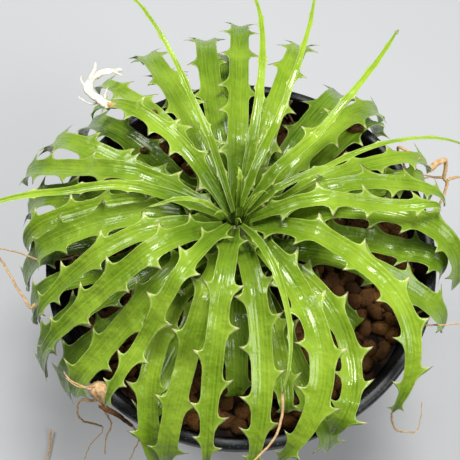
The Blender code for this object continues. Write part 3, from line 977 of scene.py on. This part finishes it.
def leaf_skin():
    skin = Finish("leaf_skin", Specular_IOR_Level=0.20, Coat_Roughness=0.09)
    place = skin.place()
    blade = skin.node("ShaderNodeUVMap", {"uv_map": "blade"})
    margin = skin.attribute("margin")
    tooth = skin.attribute("tooth")
    share = skin.attribute("share")
    age = skin.attribute("age")
    tone = skin.attribute("tone")
    streaks = skin.noise(skin.scaled(blade, 1.9, 0.07, 1.0), 1.0, 3.0, 0.6)
    clouds = skin.noise(place, 85.0, 2.0)
    threads = skin.noise(skin.scaled(blade, 2.3, 0.05, 1.0), 1.0, 2.0, 0.6)
    crinkle = skin.noise(skin.scaled(blade, 0.36, 0.34, 1.0), 1.0, 2.0, 0.45)
    old = skin.mix(clouds.step(0.3, 0.7), *OLD_GREENS)
    fresh = skin.mix(clouds.step(0.3, 0.7), *FRESH_GREENS)
    green = skin.mix((age + 0.5 * tone - 0.25).math("MAXIMUM", 0.0).math("MINIMUM", 1.0), old, fresh)
    green = skin.mix(streaks.step(0.35, 0.72) * 0.35, green, STREAK_GREEN)
    # Painted shade: the leaf is darker towards the heart of the rosette.
    green = skin.mix(share.step(0.34, 0.04) * 0.72, green, HEART_SHADE_GREEN)
    # Painted shade: the leaf is darker towards its drooping tip.
    green = skin.mix(share.step(0.62, 0.95) * 0.45, green, TIP_SHADE_GREEN)
    green = skin.mix(margin.step(0.26, 0.03) * 0.62, green, MARGIN_CREAM)
    green = skin.mix(tooth.step(0.40, 0.80) * 0.85, green, TOOTH_CREAM)
    skin.set(
        Base_Color=skin.mix(tooth.step(0.80, 1.0) * 0.8, green, TOOTH_TAN),
        Roughness=0.16 + 0.22 * streaks,
        Coat_Weight=0.48 - 0.40 * share.step(0.60, 0.90),
        Normal=skin.bump(threads, 0.00010, 0.8, skin.bump(crinkle, 0.0010, 0.7)),
    )
    return skin.material


skin_finish = leaf_skin()
AGES = {"leaf_outer": 0.15, "leaf_middle": 0.55, "leaf_inner": 0.75, "leaf_young": 0.95}
CHANNEL = 0.13
draw = random.Random(4)
BLADES = {}
for node in sorted(node for node in SLOT_OF if node.startswith("leaf_")):
    BLADES[node] = blade_of(node)
    mesh = blade_mesh(node + "_blade", BLADES[node], CHANNEL, AGES[SLOT_OF[node]], draw)
    shown(node + "_blade", mesh, skin_finish, node)
print(len(BLADES), "leaves")

# %% [markdown]
# ## Dry tips, fibres and old roots
# Old leaf ends dry to pale curls and straw-coloured threads, and a few dead roots hang over the
# pot's edge. Each strand is a short route of points in millimetres from a place on a leaf or from
# the middle of the rim, with its thickness at each end.

# %% Routes of the strands
RIM = RIM_CENTRE
KNOB = RIM + Vector((-40, -45, 6)) * MM


def on_leaf(node, share):
    """A point on a leaf's groove, at a share of its length."""
    line = BLADES[node]["line"]
    return Vector(line[round(share * (len(line) - 1))])


def reaching(*offsets):
    """A route given in millimetres from the rim's middle, begun on the leaf nearest to it."""
    place = np.array(RIM + Vector(offsets[0]) * MM)
    grooves = np.concatenate([blade["line"] for blade in BLADES.values()])
    nearest = grooves[np.argmin(np.linalg.norm(grooves - place, axis=1))]
    return (tuple((Vector(nearest) - RIM) / MM), *offsets)


# Start, then points in millimetres from it, and the thickness at both ends.
WHITE_STRANDS = (
    (RIM, ((-40, 42, 15.6), (-43, 44, 14.5), (-46, 46, 15), (-48, 49, 16), (-45, 53, 16), (-42, 55, 15),
           (-38, 57, 13)), 1.60, 0.70),
    (RIM, ((-46, 46, 14), (-47, 50, 16), (-46, 54, 17), (-46, 57, 17)), 0.95, 0.30),
    (RIM, ((-45, 53, 15), (-42, 53, 17), (-39, 54, 16), (-37, 53, 15)), 0.85, 0.25),
    (RIM, ((-43, 45, 13), (-47, 44, 13), (-50, 46, 12), (-51, 48, 11)), 0.55, 0.18),
    (RIM, ((-42, 44, 12), (-43, 48, 12), (-42, 51, 12)), 0.50, 0.18),
    (RIM, ((-48, 49, 15), (-50, 51, 15), (-50, 54, 14)), 0.45, 0.15),
    (RIM, reaching((27, 41, -2), (29, 41, 1), (33, 42, 2), (36, 42, 1), (34, 42, -2)), 0.7, 0.3),
)
STRAW_STRANDS = (
    (KNOB, ((-1, -2, -2), (-7, -1, -8), (-9, -3, -24), (-5, -3, -34), (-5, -3, -44), (-12, -5, -64),
            (-15, -8, -74)), 0.42, 0.20),
    (KNOB, ((0, -3, -2), (1, -5, -20), (-3, -6, -40), (-6, -8, -60)), 0.38, 0.18),
    (KNOB, ((-2, 0, 2), (-7, 2, 4), (-10, 5, 3)), 0.30, 0.12),
    (KNOB, ((-1, 1, 3), (-5, 0, 7), (-8, 2, 9)), 0.28, 0.10),
    (RIM, ((-74, -37, -98), (-74, -43, -99), (-75, -49, -99)), 0.45, 0.30),
    (RIM, ((-32, -52, -8), (-31, -53, -20), (-35, -53, -45), (-40, -54, -70)), 0.40, 0.20),
    (on_leaf("leaf_51", 0.96), ((0, 0, 0), (0, -5, -2), (-2, -11, -4), (-7, -16, -5), (-10, -19, -6)),
     0.42, 0.22),
    (on_leaf("leaf_40", 0.99), ((0, 0, 0), (2, -3, -8), (8, -3, -14), (11, -1, -16), (12, 6, -14)),
     0.36, 0.18),
    (RIM, reaching((50, -22, 0), (54, -24, 1), (59, -24, 1), (65, -23, 0)), 0.36, 0.20),
    (RIM, reaching((-41, 0, 5), (-50, -3, 3), (-60, -4, 2), (-68, -1, 1), (-76, 1, 0)), 0.44, 0.22),
    (RIM, reaching((-64, -17, -4), (-67, -13, -4), (-71, -7, -4), (-75, -1, -4), (-79, 3, -4)), 0.50, 0.35),
    (RIM, reaching((66, 34, -6), (68, 35, -8), (68, 31, -12), (69, 29, -13), (67, 23, -16)), 1.10, 0.60),
    (RIM, ((69, 30, -12), (72, 31, -12), (75, 31, -12), (78, 32, -12)), 0.60, 0.15),
    (RIM, ((-38, 41, 17.4), (-40, 42, 16), (-43, 44, 14), (-45, 45, 13.5)), 1.10, 0.80),
    (RIM, ((68, 31, -12), (65, 32, -14), (62, 34, -16)), 0.60, 0.25),
    (RIM, reaching((51, 36, 0), (54, 34, -8), (58, 33, -16), (65, 35, -20)), 0.60, 0.30),
    (RIM, ((17, 54, -1), (16, 53, -6), (18, 51, -10)), 0.55, 0.35),
    (RIM, ((14, 55, -2), (14, 54, -7), (16, 52, -10)), 0.45, 0.30),
)
BARK_STRANDS = (
    (RIM, ((-40, -48, 3), (-38, -49, 0), (-35, -50, -4), (-32, -52, -8)), 1.0, 0.5),
    (RIM, ((12, -22, -5), (15, -24, -5), (18, -24, -6)), 0.9, 0.5),
)


def routes_object(name, strands):
    """A mesh of open runs of edges, one for each strand, with the thickness on its points."""
    points = []
    edges = []
    thickness = []
    for start, offsets, thick, thin in strands:
        first = len(points)
        for index, offset in enumerate(offsets):
            points.append(start + Vector(offset) * MM)
            thickness.append((thick + (thin - thick) * index / (len(offsets) - 1)) * MM)
        edges += [(index, index + 1) for index in range(first, len(points) - 1)]
    mesh = bpy.data.meshes.new(name)
    mesh.from_pydata(points, edges, [])
    mesh.attributes.new("thickness", "FLOAT", "POINT").data.foreach_set("value", thickness)
    return linked(name, mesh)


# %% [markdown]
# Geometry Nodes turn the routes into smooth tapered tubes: the points become a curve, noise gives it
# a dry crinkle, and a flattened circle is swept along it.

# %% Strand tree
STRAND_STEP = 0.45 * MM
STRAND_SIDES = 8
CRINKLE_SCALE = 260.0


def strand_tree():
    sockets = (("Routes", "Geometry"), ("Flatness", "Float"), ("Crinkle", "Float"),
               ("Finish", "Material"))
    tree, given = new_group("dry_strands", sockets, "Strands")
    curve = tree.node("GeometryNodeMeshToCurve", inputs={"Mesh": given})
    curve = tree.node("GeometryNodeCurveSplineType", {"spline_type": "CATMULL_ROM"}, {"Curve": curve})
    curve = tree.node("GeometryNodeResampleCurve", {"mode": "LENGTH"},
                      {"Curve": curve, "Length": STRAND_STEP})
    place = tree.node("GeometryNodeInputPosition")
    shake = wander(tree, place, CRINKLE_SCALE, 2.0, given.other("Crinkle"))
    curve = tree.node("GeometryNodeSetPosition", inputs={"Geometry": curve, "Offset": shake})
    circle = tree.node("GeometryNodeCurvePrimitiveCircle", inputs={"Resolution": STRAND_SIDES, "Radius": 1.0})
    flat = tree.node("ShaderNodeCombineXYZ", inputs={"X": 1.0, "Y": given.other("Flatness"), "Z": 1.0})
    section = tree.node("GeometryNodeTransform", inputs={"Geometry": circle, "Scale": flat})
    thick = tree.node("GeometryNodeInputNamedAttribute", {"data_type": "FLOAT"}, {"Name": "thickness"})
    swept = tree.node("GeometryNodeCurveToMesh",
                      inputs={"Curve": curve, "Profile Curve": section, "Scale": thick, "Fill Caps": True})
    swept = tree.node("GeometryNodeSetShadeSmooth", inputs={"Geometry": swept})
    swept = tree.node("GeometryNodeRealizeInstances", inputs={"Geometry": swept})
    return ended(tree, swept, given.other("Finish"))


# %% [markdown]
# Dead fibre is dull, streaked along and blotted. The same finish serves bleached curls, straw and
# brown sheaths, each with its own pale and dark tone.


# %% Dry fibre
def dry_skin(name, pale, dark):
    """Dull, streaked fibre between a pale and a dark tone."""
    skin = Finish(name, Specular_IOR_Level=0.3)
    place = skin.place()
    streaks = skin.noise(place, 900.0, 3.0, 0.6)
    blots = skin.noise(place, 240.0)
    tone = skin.mix(streaks.step(0.3, 0.7), dark, pale)
    skin.set(
        Base_Color=skin.mix(blots.step(0.55, 0.75) * 0.5, tone, dark),
        Roughness=0.55 + 0.3 * streaks,
        Normal=skin.bump(streaks, 0.0002, 0.6),
    )
    return skin.material


white_skin = dry_skin("bleached_fibre", (0.93, 0.91, 0.84), (0.74, 0.66, 0.50))
straw_skin = dry_skin("straw_fibre", (0.78, 0.55, 0.30), (0.52, 0.29, 0.11))
bark_skin = dry_skin("brown_sheath", (0.30, 0.14, 0.05), (0.12, 0.05, 0.02))
sweep = strand_tree()
# Name, routes, flatness of the section, size of the crinkle, finish.
STRAND_GROUPS = (
    ("dry_white_curls", WHITE_STRANDS, 0.45, 2.2 * MM, white_skin),
    ("dry_straw_strands", STRAW_STRANDS, 0.75, 1.0 * MM, straw_skin),
    ("dry_brown_sheaths", BARK_STRANDS, 0.45, 1.2 * MM, bark_skin),
)
for name, strands, flatness, crinkle, material in STRAND_GROUPS:
    values = {"Flatness": flatness, "Crinkle": crinkle, "Finish": material}
    mesh = converted(routes_object(name, strands), sweep, name, values)
    shown(name, mesh, material)
    print(name, len(mesh.polygons), "faces")

# %% [markdown]
# A dried shoot base hangs at the front left, a small ribbed bulb drawn out to a point below. It is a
# turned shape whose radius is pinched in a few lengthwise pleats.

# %% Dry shoot base
KNOB_LENGTH = 8.5 * MM
KNOB_RADIUS = 3.0 * MM
KNOB_RINGS = 22
KNOB_SIDES = 40
KNOB_ABOVE = 0.38
KNOB_AXIS = (0.25, -0.55, -0.8)
PLEATS = 9
PLEAT_DEPTH = 0.09


def shoot_base():
    axis = Vector(KNOB_AXIS).normalized()
    side = axis.cross(Vector((0, 0, 1))).normalized()
    other = axis.cross(side)
    bm = bmesh.new()
    top = bm.verts.new(KNOB - axis * KNOB_LENGTH * KNOB_ABOVE)
    bottom = bm.verts.new(KNOB + axis * KNOB_LENGTH * (1.0 - KNOB_ABOVE))
    rings = []
    for row in range(1, KNOB_RINGS):
        share = row / KNOB_RINGS
        swell = math.sin(math.pi * share**0.62) ** 0.8 * (1.0 - 0.45 * share)
        ring = []
        for column in range(KNOB_SIDES):
            angle = math.tau * column / KNOB_SIDES
            pleat = 1.0 + PLEAT_DEPTH * math.cos(PLEATS * angle + 3.0 * share)
            pleat += 0.08 * math.sin(2 * angle)
            radius = KNOB_RADIUS * swell * pleat
            across = side * math.cos(angle) + other * math.sin(angle)
            middle = KNOB + axis * KNOB_LENGTH * (share - KNOB_ABOVE)
            ring.append(bm.verts.new(middle + across * radius))
        rings.append(ring)
    stitched(bm, top, rings, bottom)
    bmesh.ops.recalc_face_normals(bm, faces=bm.faces)
    mesh = mesh_from(bm, "dry_shoot_base")
    mesh.shade_smooth()
    return mesh


knob = shown("dry_shoot_base", shoot_base(), straw_skin)
print("dry shoot base:", len(knob.data.polygons), "faces")

# %% [markdown]
# Potting scatters a few granules over the plant, and some stay on the leaves. Each is a ball pushed
# out of round by smooth noise, and it rests in a leaf's groove.

# %% Loose granules
# Leaf, share of its length, and the grain's three radii in millimetres.
LOOSE = (
    ("leaf_20", 0.31, (1.8, 2.5, 1.6)),
    ("leaf_03", 0.59, (2.6, 2.2, 1.7)),
    ("leaf_04", 0.41, (1.2, 1.0, 0.8)),
    ("leaf_33", 0.42, (0.8, 0.9, 0.7)),
)
SUNK_TO = 0.9
LOOSE_LUMPS = 0.35
LOOSE_TINT = 0.35


def loose_granules():
    bm = bmesh.new()
    for number, (node, share, radii) in enumerate(LOOSE):
        rest = on_leaf(node, share) + Vector((0, 0, radii[2] * SUNK_TO)) * MM
        made = bmesh.ops.create_icosphere(bm, subdivisions=3, radius=1.0)
        for vert in made["verts"]:
            bulge = mathutils_noise(vert.co * 1.6 + Vector((7.0 * number, 0, 0)))
            lump = 1.0 + LOOSE_LUMPS * (bulge + 0.1)
            vert.co = rest + Vector([lump * part * radius * MM for part, radius in zip(vert.co, radii)])
    mesh = mesh_from(bm, "loose_granules")
    tints = [LOOSE_TINT] * len(mesh.vertices)
    mesh.attributes.new("tint", "FLOAT", "POINT").data.foreach_set("value", tints)
    mesh.shade_smooth()
    return mesh


loose = shown("loose_granules", loose_granules(), clay_finish)
print(len(LOOSE), "loose granules,", len(loose.data.polygons), "faces")
